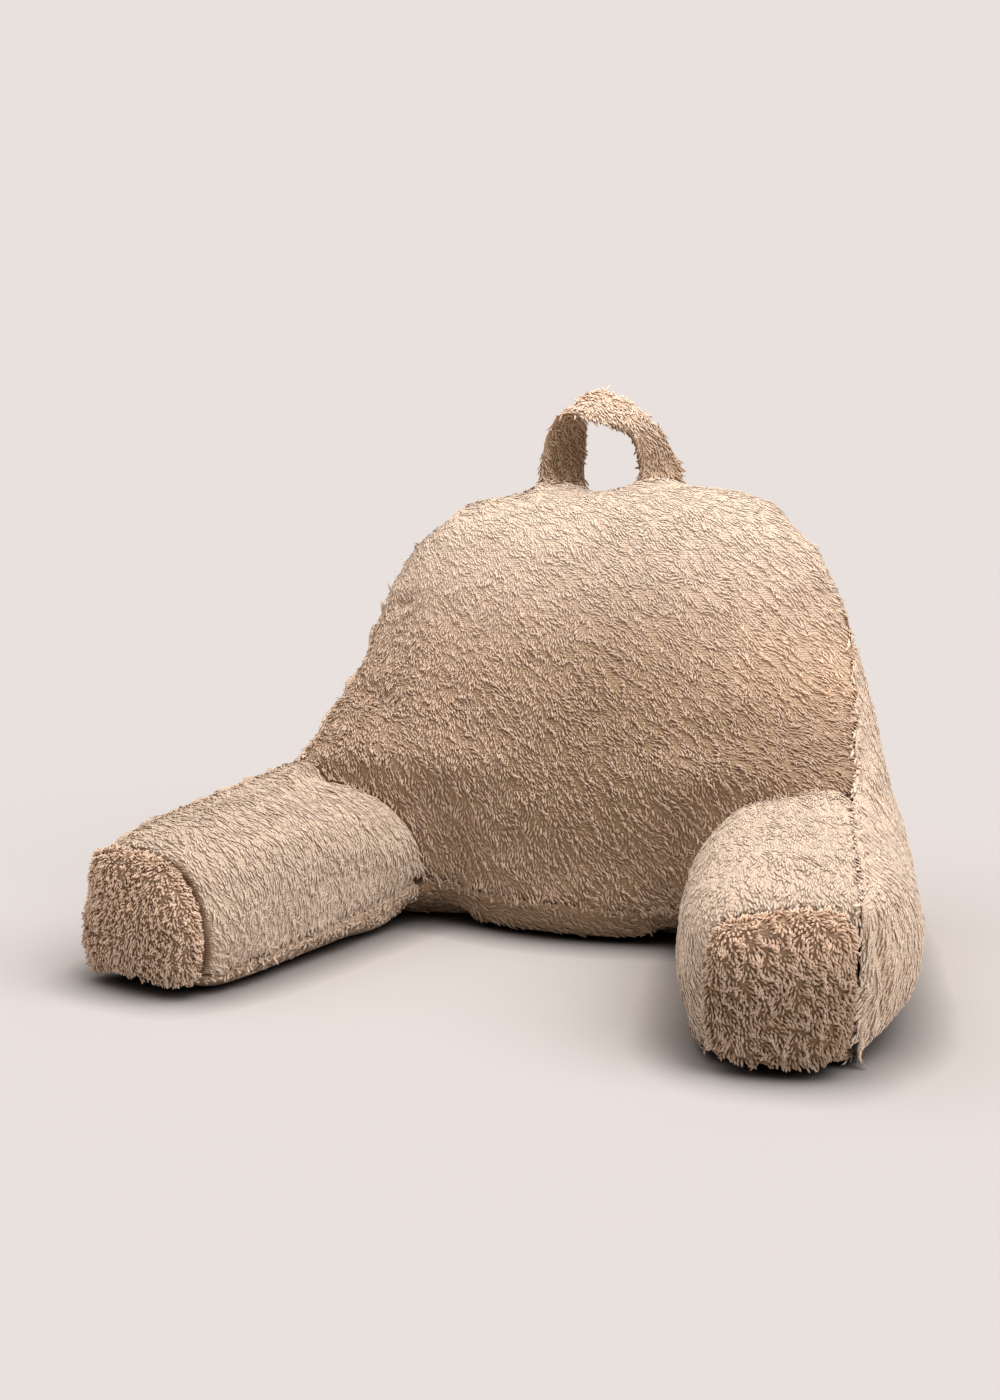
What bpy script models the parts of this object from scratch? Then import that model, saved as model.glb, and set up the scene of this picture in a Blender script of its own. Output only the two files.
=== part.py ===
"""Cuddle cushion: a filled fleece backrest with two filled arms and a carry handle.

Metres, +Z up. The cushion stands on z = 0 and faces -Y. Each sewn panel with the filling
behind it is one closed solid, and neighbours keep a small gap along their seam. Every
solid is a loft: a row of rings, each ring a section worked out from the tables below.
"""

from collections import namedtuple

import bpy
import numpy as np

# ---------------------------------------------------------------- driving dimensions

GAP = 0.0007  # between neighbouring panels
SIDE_GAP = {"left": 0.0018, "right": 0.0013}  # between a side panel and what it backs on to
SEAM_ROUND = 0.009  # radius with which a filled panel turns in towards its seam
REAR_ROUND = 0.020  # radius of the back's rear corners
BASE_ROUND = 0.018  # radius with which the back turns under to the ground
REAR_CROWN = 0.030  # how far the rear swells out, as a share of its width

SEAT_HALF_WIDTH = 0.150  # half the space between the arms, at the back
ARM_SEAM_STATION = 0.0  # the upright plane in which the arms are sewn to the back
BASE_HEIGHT = 0.043  # height of the seam between the back and its underside
ARM_TOP_HEIGHT = 0.188  # of the arms where they meet the back
SHOULDER_HEIGHT = 0.425  # where the side panels end and the rolled top begins
SWELL_BETWEEN_ARMS_BELOW = 0.160  # up to here the front swells out between the arms only
SWELL_ACROSS_ABOVE = 0.255  # from here up it swells out over its whole width
ACROSS_FULLNESS = 2.4  # there, how squarely it swells
SEAT_SOFT, SEAT_FULL = 1.2, 0.45  # between the arms: rounded low down, fuller higher up
SEAT_SOFT_HEIGHT, SEAT_FULL_HEIGHT = 0.06, 0.17

# The back, level by level. "side" and "tail" are half its width at the front and at the rear
# seam, "front" and "rear" are where those seams stand, "middle" is how far forward the front
# comes half-way between the arms.
BackRow = namedtuple("BackRow", "height side tail front rear middle")
BACK_ROWS = (
    BackRow(0.000, 0.309, 0.290, 0.002, 0.280, -0.018),
    BackRow(0.050, 0.312, 0.295, 0.000, 0.287, -0.028),
    BackRow(0.100, 0.312, 0.295, 0.000, 0.291, -0.022),
    BackRow(0.150, 0.312, 0.293, 0.000, 0.294, -0.004),
    BackRow(0.188, 0.312, 0.290, 0.000, 0.296, 0.012),
    BackRow(0.210, 0.307, 0.286, 0.028, 0.297, 0.023),
    BackRow(0.245, 0.302, 0.280, 0.068, 0.298, 0.041),
    BackRow(0.290, 0.292, 0.266, 0.119, 0.298, 0.067),
    BackRow(0.330, 0.286, 0.255, 0.146, 0.297, 0.091),
    BackRow(0.370, 0.274, 0.242, 0.160, 0.295, 0.113),
    BackRow(0.410, 0.255, 0.224, 0.171, 0.292, 0.135),
    BackRow(0.425, 0.247, 0.216, 0.175, 0.290, 0.144),
)

# The rolled top of the back, above the side panels, where the front panel runs round.
ROLL_ROWS = (
    BackRow(0.4295, 0.2465, 0.214, 0.177, 0.290, 0.147),
    BackRow(0.4360, 0.2455, 0.210, 0.179, 0.289, 0.151),
    BackRow(0.448, 0.237, 0.202, 0.183, 0.286, 0.159),
    BackRow(0.462, 0.224, 0.190, 0.188, 0.281, 0.170),
    BackRow(0.476, 0.209, 0.175, 0.196, 0.275, 0.183),
    BackRow(0.487, 0.189, 0.157, 0.205, 0.268, 0.196),
    BackRow(0.495, 0.162, 0.135, 0.216, 0.261, 0.211),
    BackRow(0.500, 0.126, 0.106, 0.228, 0.253, 0.226),
)

# Soft dents that the filling leaves in the front of the back: where, how wide and how deep.
Dent = namedtuple("Dent", "across height reach_across reach_up depth")
DENTS = (
    Dent(-0.285, 0.252, 0.085, 0.034, 0.013),
    Dent(-0.285, 0.352, 0.060, 0.030, 0.006),
    Dent(0.235, 0.232, 0.090, 0.045, 0.007),
)

# An arm, station by station from its end to the back. "inner" is its side towards the seat,
# "seam" is where its top meets the side panel, "floor" is the height of the seam to its
# underside and "contact" is where that underside reaches the ground on the seat side.
ArmRow = namedtuple("ArmRow", "station inner seam floor contact top")
ARM_ROWS = (
    ArmRow(-0.305, 0.231, 0.362, 0.014, 0.249, 0.139),
    ArmRow(-0.285, 0.219, 0.360, 0.017, 0.243, 0.147),
    ArmRow(-0.240, 0.203, 0.353, 0.022, 0.240, 0.157),
    ArmRow(-0.170, 0.184, 0.341, 0.028, 0.234, 0.168),
    ArmRow(-0.100, 0.168, 0.328, 0.034, 0.224, 0.178),
    ArmRow(-0.040, 0.156, 0.318, 0.040, 0.192, 0.186),
    ArmRow(0.000, 0.150, 0.312, 0.043, 0.166, 0.188),
)
ARM_TOP_CROWN = 0.07  # as a share of the width
ARM_INNER_CROWN = 0.09

# How the top of each arm rounds over towards the seat: the width and height of the round, and
# how far the top has dropped where the round begins. The left arm slumps more than the right.
RoundRow = namedtuple("RoundRow", "station across down drop")
ROUND_ROWS = {
    "left": (
        RoundRow(-0.305, 0.062, 0.078, 0.005),
        RoundRow(-0.240, 0.070, 0.085, 0.008),
        RoundRow(-0.100, 0.104, 0.096, 0.017),
        RoundRow(0.000, 0.128, 0.100, 0.026),
    ),
    "right": (
        RoundRow(-0.305, 0.036, 0.036, 0.006),
        RoundRow(-0.240, 0.052, 0.058, 0.006),
        RoundRow(-0.100, 0.085, 0.095, 0.007),
        RoundRow(0.000, 0.110, 0.120, 0.008),
    ),
}

# How far a side panel stands out, station by station, and the share of that by height.
SwellRow = namedtuple("SwellRow", "station swell")
SWELL_ROWS = (
    SwellRow(-0.305, 0.016),
    SwellRow(-0.285, 0.032),
    SwellRow(-0.240, 0.050),
    SwellRow(-0.170, 0.060),
    SwellRow(-0.100, 0.066),
    SwellRow(-0.040, 0.066),
    SwellRow(0.000, 0.063),
    SwellRow(0.050, 0.059),
    SwellRow(0.100, 0.053),
    SwellRow(0.160, 0.044),
    SwellRow(0.220, 0.034),
    SwellRow(0.260, 0.026),
    SwellRow(0.278, 0.016),
)
ShareRow = namedtuple("ShareRow", "height share")
SHARE_ROWS = (
    ShareRow(0.000, 0.26),
    ShareRow(0.010, 0.46),
    ShareRow(0.030, 0.76),
    ShareRow(0.070, 0.99),
    ShareRow(0.100, 0.98),
    ShareRow(0.130, 0.87),
    ShareRow(0.160, 0.66),
    ShareRow(0.190, 0.52),
    ShareRow(0.240, 0.44),
    ShareRow(0.280, 0.34),
    ShareRow(0.320, 0.24),
    ShareRow(0.370, 0.15),
    ShareRow(0.430, 0.10),
)
SIDE_FLOOR = 0.001
FACE_RUNS_ON = 0.4  # how far in front of the back its side's line runs on, as a share of its depth

# The panel under an arm.
BASE_SET_BACK = 0.004  # from the arm's seat side
BASE_EDGE_ROUND = 0.3  # the rounding of its edges, as a share of its height
BASE_END_INSET = 0.003  # it is drawn in less at its ends than the filled arm is
OUTER_LYING = 0.012  # where the flat part of an arm's floor seam ends, from its outer side
INNER_LYING = 0.020  # and from its inner side

# The end panels.
CAP_SEAM_STATION = -0.305  # the upright plane in which an end panel is sewn to its arm
CAP_CROWN = 0.036  # how far an end panel stands out from its seam
CAP_INNER = {"left": 0.231, "right": 0.241}
CAP_OUTER = {"left": 0.372, "right": 0.366}
CAP_FLOOR = 0.003
CAP_TOP = 0.141
CAP_LOW_ROUND = {"left": 0.026, "right": 0.036}
CAP_TOP_ROUND = 0.022
CAP_ROUNDS_GONE = 0.075  # the inset at which the outline's rounded corners would have shrunk away
CAP_FLARE = {"left": 0.030, "right": 0.0}  # how far an end panel spreads outwards at its foot
CAP_SWEEP = 0.22  # how far the arms' ends turn outwards, as a slope
SWEEP_MIDDLE = 0.290  # the distance from the middle of the cushion that the sweep leaves alone
SWEEP_START = 0.100  # forward of the back, the sweep grows from here
SWEEP_FULL = 0.300

# The handle's middle line with the direction and size of its width, left foot to right foot.
HandleRow = namedtuple("HandleRow", "along depth height wide_x wide_y wide_z width")
HANDLE_ROWS = (
    HandleRow(-0.077, 0.257, 0.474, 0.88, 0.48, 0.00, 0.062),
    HandleRow(-0.077, 0.256, 0.503, 0.88, 0.48, 0.02, 0.062),
    HandleRow(-0.075, 0.254, 0.537, 0.82, 0.57, 0.06, 0.060),
    HandleRow(-0.069, 0.251, 0.563, 0.66, 0.70, 0.20, 0.058),
    HandleRow(-0.060, 0.248, 0.584, 0.40, 0.78, 0.46, 0.059),
    HandleRow(-0.044, 0.243, 0.594, 0.18, 0.75, 0.64, 0.061),
    HandleRow(-0.022, 0.241, 0.589, 0.12, 0.68, 0.73, 0.058),
    HandleRow(0.003, 0.243, 0.578, 0.16, 0.72, 0.67, 0.050),
    HandleRow(0.024, 0.247, 0.561, 0.36, 0.76, 0.50, 0.043),
    HandleRow(0.038, 0.251, 0.538, 0.70, 0.64, 0.26, 0.047),
    HandleRow(0.048, 0.255, 0.506, 0.84, 0.53, 0.06, 0.056),
    HandleRow(0.050, 0.257, 0.476, 0.86, 0.50, 0.00, 0.057),
)
HANDLE_THICKNESS = 0.016
HANDLE_RINGS = 26

# The underside arches off the floor at the two inner corners of the seat.
ARCH_LIFT = 0.026
ARCH_REACH_X = 0.070
ARCH_REACH_Y = 0.085
ARCH_FADE_HEIGHT = 0.055

# The seam round the underside runs a little lower towards the right.
SEAM_TILT = 0.030
SEAM_TILT_REACH = 0.130
SEAM_TILT_HEIGHT = 0.090  # above this the tilt has faded

UPPER_LEAN = 0.0065  # how far the filled top leans to the left
LEAN_START = 0.25
LEAN_FULL = 0.40
UPPER_RISE = 0.0045  # how much higher the filled top stands towards the right
RISE_ACROSS = (-0.03, 0.09)  # from where to where along it
RISE_HEIGHTS = (0.41, 0.49)

# Where sections are taken: levels up the back, stations along the arms and behind them. They
# lie closer together where the outline turns.
LOW_LEVELS = (0.090, 0.130, 0.162, 0.188, 0.205, 0.225, 0.248)
HIGH_LEVELS = (0.272, 0.298, 0.324, 0.350, 0.376, 0.402, 0.422)
BACK_LEVELS = LOW_LEVELS + HIGH_LEVELS
ARM_STATIONS = (-0.280, -0.252, -0.215, -0.172, -0.130, -0.088, -0.050, -0.024)
WING_STATIONS = (0.000, 0.025, 0.050, 0.075, 0.098, 0.118, 0.134, 0.146, 0.155, 0.163, 0.171)
REAR_STATIONS = (0.180, 0.205, 0.235, 0.260, 0.278)

FLEECE_COLOUR = (0.62, 0.44, 0.30, 1.0)


# ---------------------------------------------------------------- tables and sections


def column(rows, name):
    return np.array([getattr(row, name) for row in rows])


def knot_slopes(xs, ys):
    """Slopes at the knots that keep a smooth curve from running past its values."""
    steps = np.diff(ys) / np.diff(xs)
    slopes = np.concatenate([steps[:1], np.zeros(len(xs) - 2), steps[-1:]])
    for i in range(1, len(xs) - 1):
        before, after = steps[i - 1], steps[i]
        if before * after > 0:
            slopes[i] = 2 * before * after / (before + after)
    return slopes


def read(rows, at, key, name):
    """A column of a table at a value of its key column, along a smooth curve."""
    xs, ys = column(rows, key), column(rows, name)
    slopes = knot_slopes(xs, ys)
    at = np.clip(at, xs[0], xs[-1])
    i = np.clip(np.searchsorted(xs, at, side="right") - 1, 0, len(xs) - 2)
    span = xs[i + 1] - xs[i]
    t = (at - xs[i]) / span
    start = (1 + 2 * t) * (1 - t) ** 2 * ys[i] + t * (1 - t) ** 2 * span * slopes[i]
    end = t**2 * (3 - 2 * t) * ys[i + 1] + t**2 * (t - 1) * span * slopes[i + 1]
    return start + end


def ramp(value, low, high):
    """0 below low, 1 above high, smooth between."""
    t = np.clip((value - low) / (high - low), 0.0, 1.0)
    return t * t * (3 - 2 * t)


def bump(distance):
    """1 at 0, smoothly to exactly 0 at a distance of 1."""
    return np.clip(1 - np.asarray(distance) ** 2, 0.0, None) ** 3


def inset_steps(radius, depth, count=3):
    """(step in from the end, inset of the section) along a quarter round at a seam."""
    turn = np.linspace(0.0, 1.0, count) * np.pi / 2
    return [(depth * (1 - np.cos(a)), radius * (1 - np.sin(a))) for a in turn]


def side_of_ring(start, end, bow, count):
    """Points from start towards end, leaving out the end, bowed out by a share of the length."""
    start, end = np.asarray(start, float), np.asarray(end, float)
    out = np.array([end[1] - start[1], start[0] - end[0]])
    share = np.arange(count) / count
    return [start + (end - start) * t + out * bow * np.sin(np.pi * t) for t in share]


def corner_of_ring(centre, radii, from_degrees, count):
    """Points of a quarter turn, counter-clockwise, leaving out its last. Two radii, or one."""
    turn = np.radians(from_degrees + 90 * np.arange(count) / count)
    return [centre + np.multiply(radii, [np.cos(a), np.sin(a)]) for a in turn]


# ---------------------------------------------------------------- the shape as it stands


def settle(points):
    """Moves points of the plain shape to where the filled cushion settles."""
    points = np.array(points, float)
    x, y, z = points.T.copy()
    arch = bump(np.hypot((np.abs(x) - SEAT_HALF_WIDTH) / ARCH_REACH_X, y / ARCH_REACH_Y))
    fade = np.clip(1 - z / ARCH_FADE_HEIGHT, 0.0, 1.0)
    points[:, 2] = z + ARCH_LIFT * arch * fade
    share = np.clip(z / SEAM_TILT_HEIGHT, 0.0, 1.0)
    drop = SEAM_TILT * np.clip(x, -SEAM_TILT_REACH, SEAM_TILT_REACH)
    points[:, 2] -= drop * 4 * share * (1 - share)
    sweep = CAP_SWEEP * (np.abs(x) - SWEEP_MIDDLE)
    points[:, 1] = y + sweep * ramp(-y, SWEEP_START, SWEEP_FULL)
    points[:, 0] = x - UPPER_LEAN * ramp(z, LEAN_START, LEAN_FULL)
    points[:, 2] += UPPER_RISE * ramp(x, *RISE_ACROSS) * ramp(z, *RISE_HEIGHTS)
    return points


def faces_out(points, faces):
    """The faces, turned round where they would face inwards."""
    fans = [(face[0], face[i], face[i + 1]) for face in faces for i in range(1, len(face) - 1)]
    volume = np.linalg.det(points[np.array(fans)]).sum()
    return faces if volume > 0 else [face[::-1] for face in faces]


def fan(hub, ring):
    """Triangles from one point to every edge of a ring."""
    return [(hub, ring[k], ring[(k + 1) % len(ring)]) for k in range(len(ring))]


def loft(name, rings, collection, crescent_ends=False):
    """One closed solid through rings of equally many points.

    Each end is a fan about its middle, so that ends which face each other match. A crescent's
    middle lies outside it, so there the end is one face.
    """
    count = len(rings[0])
    points = np.concatenate(rings)
    first, last = list(range(count))[::-1], list(range(len(points) - count, len(points)))
    if crescent_ends:
        faces = [first, last]
    else:
        faces = fan(len(points), first) + fan(len(points) + 1, last)
        points = np.concatenate([points, [rings[0].mean(axis=0), rings[-1].mean(axis=0)]])
    points = settle(points)
    for r in range(len(rings) - 1):
        for k in range(count):
            a, b = r * count + k, r * count + (k + 1) % count
            # Facing panels split their quads along the same diagonal, so their gap stays even.
            if abs(points[a][0]) <= abs(points[b][0]):
                faces += [(a, b, b + count), (a, b + count, a + count)]
            else:
                faces += [(a, b, a + count), (b, b + count, a + count)]
    mesh = bpy.data.meshes.new(name)
    mesh.from_pydata(points.tolist(), [], faces_out(points, faces))
    mesh.shade_smooth()
    mesh.materials.append(fleece(name))
    part = bpy.data.objects.new(name, mesh)
    collection.objects.link(part)
    return part


def fleece(name):
    material = bpy.data.materials.new(name + "_fleece")
    material.use_nodes = True
    shader = material.node_tree.nodes["Principled BSDF"]
    shader.inputs["Base Color"].default_value = FLEECE_COLOUR
    shader.inputs["Roughness"].default_value = 0.95
    shader.inputs["Metallic"].default_value = 0.0
    return material


# ---------------------------------------------------------------- the back


def front_swell(x, row):
    """Share of the way from the front seams to the middle of the front, at x."""
    above_arms = ramp(row.height, SWELL_BETWEEN_ARMS_BELOW, SWELL_ACROSS_ABOVE)
    across_seat = np.clip(x / (SEAT_HALF_WIDTH - SEAM_ROUND), -1, 1)
    fullness = ramp(row.height, SEAT_SOFT_HEIGHT, SEAT_FULL_HEIGHT)
    sharpness = SEAT_SOFT + (SEAT_FULL - SEAT_SOFT) * fullness
    between_arms = np.cos(np.pi / 2 * across_seat) ** sharpness
    all_across = 1 - np.abs(x / row.side) ** ACROSS_FULLNESS
    return (1 - above_arms) * between_arms + above_arms * all_across


def dent_depth(x, height):
    depth = 0.0
    for dent in DENTS:
        off = np.hypot((x - dent.across) / dent.reach_across, (height - dent.height) / dent.reach_up)
        depth += dent.depth * float(bump(off))
    return depth


def back_ring(row, inset=0.0, front_count=24, rear_count=9, side_count=3, corner_count=2):
    """A level section of the back, counter-clockwise seen from above."""
    side, tail = row.side - GAP / 2 - inset, row.tail - GAP / 2 - inset
    front, rear = row.front + inset, row.rear - inset
    r, wide = SEAM_ROUND, REAR_ROUND
    ring = []
    for x in np.linspace(-side + r, side - r, front_count, endpoint=False):
        swell = (row.middle - row.front) * front_swell(x, row)
        ring.append((x, front + swell + dent_depth(x, row.height)))
    ring += corner_of_ring((side - r, front + r), r, -90, corner_count)
    ring += side_of_ring((side, front + r), (tail, rear - wide), 0.0, side_count)
    ring += corner_of_ring((tail - wide, rear - wide), wide, 0, corner_count)
    ring += side_of_ring((tail - wide, rear), (-tail + wide, rear), REAR_CROWN, rear_count)
    ring += corner_of_ring((-tail + wide, rear - wide), wide, 90, corner_count)
    ring += side_of_ring((-tail, rear - wide), (-side, front + r), 0.0, side_count)
    ring += corner_of_ring((-side + r, front + r), r, 180, corner_count)
    return np.array([(x, y, row.height) for x, y in ring])


def back_row(height):
    values = [float(read(BACK_ROWS, height, "height", name)) for name in BackRow._fields[1:]]
    return BackRow(height, *values)


def backrest_rings(grow=0.0):
    """The rings of the filled back, which may be grown all over by a little."""
    floor = BASE_HEIGHT + GAP / 2
    rings = []
    for step, inset in inset_steps(SEAM_ROUND, SEAM_ROUND):
        rings.append(back_ring(back_row(floor + step), inset - grow))
    rings += [back_ring(back_row(height), -grow) for height in BACK_LEVELS]
    rings += [back_ring(row, -grow) + np.array([0, 0, grow]) for row in ROLL_ROWS]
    return rings


def make_back_base():
    top = BASE_HEIGHT - GAP / 2
    rings = []
    for step, inset in inset_steps(BASE_ROUND, BASE_ROUND):
        rings.append(back_ring(back_row(step), inset))
    for step, inset in reversed(inset_steps(SEAM_ROUND, SEAM_ROUND)):
        rings.append(back_ring(back_row(top - step), inset))
    return loft("back_base", rings, cushion)


# ---------------------------------------------------------------- the arms


def arm_row(station):
    values = [float(read(ARM_ROWS, station, "station", name)) for name in ArmRow._fields[1:]]
    return ArmRow(station, *values)


def round_row(hand, station):
    rows = ROUND_ROWS[hand]
    values = [float(read(rows, station, "station", name)) for name in RoundRow._fields[1:]]
    return RoundRow(station, *values)


def facing(hand, ring, station):
    """An upright section, given in x and z for the right, as points on the hand's own side."""
    sign = -1 if hand == "left" else 1
    return np.array([(sign * x, station, z) for x, z in ring])


def lying_points(row):
    """Where the ring of an arm and that of its underside have points, across their seam."""
    return np.linspace(row.inner + INNER_LYING, row.seam - OUTER_LYING, 6)


def arm_ring(hand, station, inset):
    """An upright section of an arm above its underside."""
    row, over = arm_row(station), round_row(hand, station)
    inner, seam = row.inner + inset, row.seam - GAP / 2 - inset
    floor, top = row.floor + GAP / 2 + inset, row.top - inset
    r = SEAM_ROUND
    across, down, low_top = over.across - inset, over.down - inset, top - over.drop
    ring = [(x, floor) for x in lying_points(row)]
    ring += corner_of_ring((seam - r, floor + r), r, -90, 2)[1:]
    ring += side_of_ring((seam, floor + r), (seam, top - r), 0.0, 3)
    ring += corner_of_ring((seam - r, top - r), r, 0, 2)
    ring += side_of_ring((seam - r, top), (inner + across, low_top), ARM_TOP_CROWN, 4)
    ring += corner_of_ring((inner + across, low_top - down), (across, down), 90, 7)
    ring += side_of_ring((inner, low_top - down), (inner, floor + r), ARM_INNER_CROWN, 3)
    ring += corner_of_ring((inner + r, floor + r), r, 180, 2)
    return facing(hand, ring, station)


def base_ring(hand, station, inset):
    """An upright section of the panel under an arm, rounded up towards the seat."""
    row = arm_row(station)
    inset = min(inset, BASE_END_INSET)
    inner, seam = row.inner + BASE_SET_BACK + inset, row.seam - GAP / 2 - inset
    low, top = inset * 0.5, row.floor - GAP / 2
    r = BASE_EDGE_ROUND * (top - low)
    contact = row.contact + inset
    ring = [(x, low) for x in np.linspace(contact, seam - OUTER_LYING, 6)]
    ring += corner_of_ring((seam - r, low + r), r, -90, 2)[1:]
    ring += corner_of_ring((seam - r, top - r), r, 0, 2)
    ring += [(x, top) for x in lying_points(row)[::-1]]
    ring += corner_of_ring((inner + r, top - r), r, 90, 2)[1:]
    ring += corner_of_ring((contact, top - r), (contact - inner, top - r - low), 180, 4)
    return facing(hand, ring, station)


def arm_stations():
    """(station, inset) along an arm, with a quarter round at each seam."""
    start, end = CAP_SEAM_STATION, ARM_SEAM_STATION - GAP
    ends = inset_steps(SEAM_ROUND, SEAM_ROUND)
    stations = [(start + step, inset) for step, inset in ends]
    stations += [(station, 0.0) for station in ARM_STATIONS]
    stations += [(end - step, inset) for step, inset in reversed(ends)]
    return stations


def make_arm(hand):
    rings = [arm_ring(hand, station, inset) for station, inset in arm_stations()]
    return loft("arm_" + hand, rings, cushion)


def make_arm_base(hand):
    rings = [base_ring(hand, station, inset) for station, inset in arm_stations()]
    return loft("arm_base_" + hand, rings, cushion)


# ---------------------------------------------------------------- the side panels

FACE_ROWS = [back_row(level) for level in (0.0, BASE_HEIGHT / 2, BASE_HEIGHT) + BACK_LEVELS]


def inner_face(hand, station, height):
    """Where a side panel backs on to its arm, or on to the back behind the arm."""
    if station < ARM_SEAM_STATION:
        return arm_row(station).seam + SIDE_GAP[hand]
    sides = []
    for row in FACE_ROWS:
        start, end = row.front + SEAM_ROUND, row.rear - REAR_ROUND
        along = np.clip((station - start) / (end - start), -FACE_RUNS_ON, 1.0)
        sides.append(row.side + (row.tail - row.side) * along)
    return float(np.interp(height, [row.height for row in FACE_ROWS], sides)) + SIDE_GAP[hand]


def side_top(station):
    """The upper edge of a side panel: along the arm's seam, then up the front of the back."""
    if station < ARM_SEAM_STATION:
        return arm_row(station).top - 0.002
    heights = np.linspace(ARM_TOP_HEIGHT, SHOULDER_HEIGHT, 60)
    fronts = read(BACK_ROWS, heights, "height", "front")
    return float(np.interp(station, fronts, heights))


def side_ring(hand, station, count=11):
    """An upright section of a side panel: flat behind, swelling out between its seams."""
    low, high = SIDE_FLOOR, side_top(station)
    swell = float(read(SWELL_ROWS, station, "station", "swell"))
    heights = np.linspace(low, high, count)
    ring = [(inner_face(hand, station, z), z) for z in heights]
    for z in np.linspace(high, low, count + 2)[1:-1]:
        share = float(read(SHARE_ROWS, z, "height", "share")) * np.sqrt(1 - (z / high) ** 4)
        ring.append((inner_face(hand, station, z) + swell * share, z))
    return facing(hand, ring, station)


def make_side_panel(hand):
    stations = [station for station, _ in arm_stations()[:-1]] + list(WING_STATIONS + REAR_STATIONS)
    rings = [side_ring(hand, station) for station in stations]
    return loft("side_panel_" + hand, rings, cushion, crescent_ends=True)


# ---------------------------------------------------------------- the end panels


def cap_ring(hand, station, inset):
    """An upright section of an end panel, over the ends of arm, side panel and underside."""
    over = round_row(hand, CAP_SEAM_STATION)
    inner, outer = CAP_INNER[hand] + inset, CAP_OUTER[hand] - inset
    floor, top = CAP_FLOOR + inset * 0.7, CAP_TOP - inset
    shrink = 1 - inset / CAP_ROUNDS_GONE
    across, down = over.across * shrink, over.down * shrink
    low, small = CAP_LOW_ROUND[hand] * shrink, CAP_TOP_ROUND * shrink
    low_top = top - over.drop
    ring = side_of_ring((inner + low, floor), (outer - low, floor), 0.0, 4)
    ring += corner_of_ring((outer - low, floor + low), low, -90, 3)
    ring += side_of_ring((outer, floor + low), (outer, top - small), 0.02, 4)
    ring += corner_of_ring((outer - small, top - small), small, 0, 4)
    ring += side_of_ring((outer - small, top), (inner + across, low_top), 0.04, 4)
    ring += corner_of_ring((inner + across, low_top - down), (across, down), 90, 6)
    ring += side_of_ring((inner, low_top - down), (inner, floor + low), 0.04, 3)
    ring += corner_of_ring((inner + low, floor + low), low, 180, 3)
    flare = CAP_FLARE[hand] / (CAP_OUTER[hand] - CAP_INNER[hand])
    spread = [(x + flare * (x - CAP_INNER[hand]) * (1 - z / CAP_TOP), z) for x, z in ring]
    return facing(hand, spread, station)


# How far an end panel has come forward, as a share of its crown, and how far its outline has
# drawn in there.
CapStep = namedtuple("CapStep", "share inset")
CAP_STEPS = (
    CapStep(1.000, 0.050),
    CapStep(0.985, 0.036),
    CapStep(0.930, 0.022),
    CapStep(0.820, 0.010),
    CapStep(0.620, 0.002),
    CapStep(0.400, 0.000),
)


def make_end_cap(hand):
    seam = CAP_SEAM_STATION - GAP
    rings = [cap_ring(hand, seam - CAP_CROWN * step.share, step.inset) for step in CAP_STEPS]
    for step, inset in reversed(inset_steps(SEAM_ROUND, SEAM_ROUND)):
        rings.append(cap_ring(hand, seam - step, inset))
    return loft("end_cap_" + hand, rings, cushion)


# ---------------------------------------------------------------- the handle


def make_handle(back_cutter):
    """A flat strap whose width turns from one foot over the top to the other."""
    knots = np.arange(len(HANDLE_ROWS))
    Keyed = namedtuple("Keyed", ("knot",) + HandleRow._fields)
    rows = [Keyed(k, *row) for k, row in zip(knots, HANDLE_ROWS)]
    places = np.linspace(0, knots[-1], HANDLE_RINGS)
    values = np.array([[read(rows, t, "knot", n) for n in HandleRow._fields] for t in places])
    middle, wide, width = values[:, :3], values[:, 3:6], values[:, 6]
    along = np.gradient(middle, axis=0)
    along /= np.linalg.norm(along, axis=1)[:, None]
    wide -= along * np.sum(wide * along, axis=1)[:, None]
    wide /= np.linalg.norm(wide, axis=1)[:, None]
    thick = np.cross(along, wide)
    turn = np.linspace(0, 2 * np.pi, 12, endpoint=False)
    across = np.sign(np.cos(turn)) * np.abs(np.cos(turn)) ** 0.75 / 2
    through = np.sin(turn) * HANDLE_THICKNESS / 2
    wide *= width[:, None]
    rings = [
        m + across[:, None] * w + through[:, None] * n for m, w, n in zip(middle, wide, thick)
    ]
    strap = loft("carry_handle", rings, cushion)
    feet = strap.modifiers.new("feet_on_the_back", "BOOLEAN")
    feet.operation = "DIFFERENCE"
    feet.object = back_cutter
    return strap


# ---------------------------------------------------------------- build


def stand_on_origin(parts, helpers):
    """Moves the whole cushion so that the origin is under the middle of its box."""
    corners = np.concatenate([[v.co[:] for v in part.data.vertices] for part in parts])
    low, high = corners.min(axis=0), corners.max(axis=0)
    shift = np.array([(low[0] + high[0]) / 2, (low[1] + high[1]) / 2, low[2]])
    for part in parts + helpers:
        for vertex in part.data.vertices:
            vertex.co = np.array(vertex.co) - shift


for old in list(bpy.data.objects):
    bpy.data.objects.remove(old, do_unlink=True)
cushion = bpy.data.collections.new("cuddle_cushion")
bpy.context.scene.collection.children.link(cushion)
cutters = bpy.data.collections.new("cutters")
bpy.context.scene.collection.children.link(cutters)

loft("backrest", backrest_rings(), cushion)
make_back_base()
for hand in ("left", "right"):
    make_arm(hand)
    make_arm_base(hand)
    make_side_panel(hand)
    make_end_cap(hand)
grown_back = loft("grown_back", backrest_rings(grow=GAP), cutters)
grown_back.hide_render = True
grown_back.display_type = "WIRE"
make_handle(grown_back)
stand_on_origin(list(cushion.objects), [grown_back])
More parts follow.
